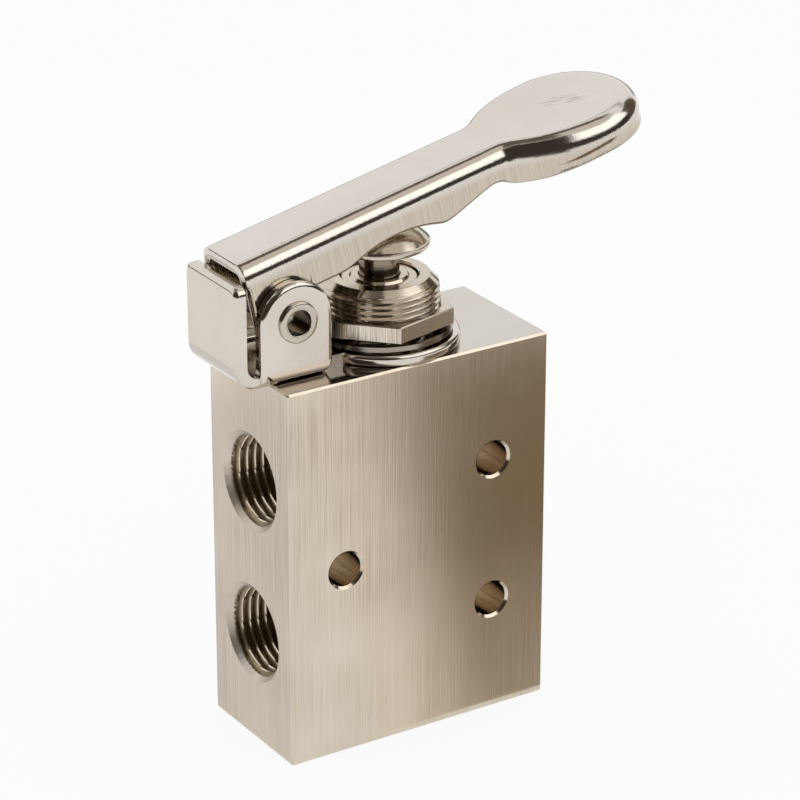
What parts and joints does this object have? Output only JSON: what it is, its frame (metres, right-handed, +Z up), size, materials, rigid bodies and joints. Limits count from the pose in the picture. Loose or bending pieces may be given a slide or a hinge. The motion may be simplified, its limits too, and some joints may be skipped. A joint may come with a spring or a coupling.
{
  "type": "lever-operated pneumatic valve",
  "caption": "Nickel-plated spool valve block with threaded pipe ports and through holes, worked by a pressed thumb lever that pushes a sprung plunger.",
  "frame": {"origin": "centre of the block's bottom face", "axes": "+Z up along the spool, +X along the block's wide face from the pivot towards the thumb pad, +Y through the block's thin depth, away from the front"},
  "size_m": [0.0484, 0.0154, 0.0623],
  "materials": {
    "block": "milled brass bar, bright nickel plate, brushed grain along Z",
    "turned": "turned brass, bright nickel plate",
    "pressed": "pressed mild steel, bright nickel plate",
    "stem": "ground stainless steel",
    "spring_steel": "drawn spring steel",
    "sleeve": "turned aluminium",
    "seal": "moulded nitrile rubber"
  },
  "bodies": {
    "valve": {"valve_body": "block", "neck_bush": "turned", "guide_bush": "turned", "lever_bracket": "pressed", "lock_washer": "pressed", "panel_nut": "turned", "pivot_rivet": "pressed", "return_spring": "spring_steel", "seal_retainer": "turned", "sleeve_supply": "sleeve", "sleeve_outlet": "sleeve", "sleeve_exhaust": "sleeve", "seal_ring_1": "seal", "seal_ring_2": "seal", "seal_ring_3": "seal", "seal_ring_4": "seal", "bottom_plug": "turned", "plug_seal": "seal"},
    "lever": {"lever": "pressed"},
    "plunger": {"plunger_head": "turned", "spool": "stem", "spring_collar": "stem", "stem_clip": "spring_steel"}
  },
  "joints": [
    {"name": "lever_press", "type": "hinge", "parent": "valve", "child": "lever", "pos_m": [-0.0125, 0, 0.0463], "axis": [0, 1, 0], "range_deg": [0, 12], "stiffness_Nm_per_rad": 0.178, "springref_deg": -5.73},
    {"name": "plunger_slide", "type": "slide", "parent": "valve", "child": "plunger", "axis": [0, 0, -1], "range_m": [0, 0.00255], "deforming": ["return_spring"]}
  ],
  "couplings": [
    {"joint": "lever_press", "follows": "plunger_slide", "rad_per_m": 82.1}
  ]
}
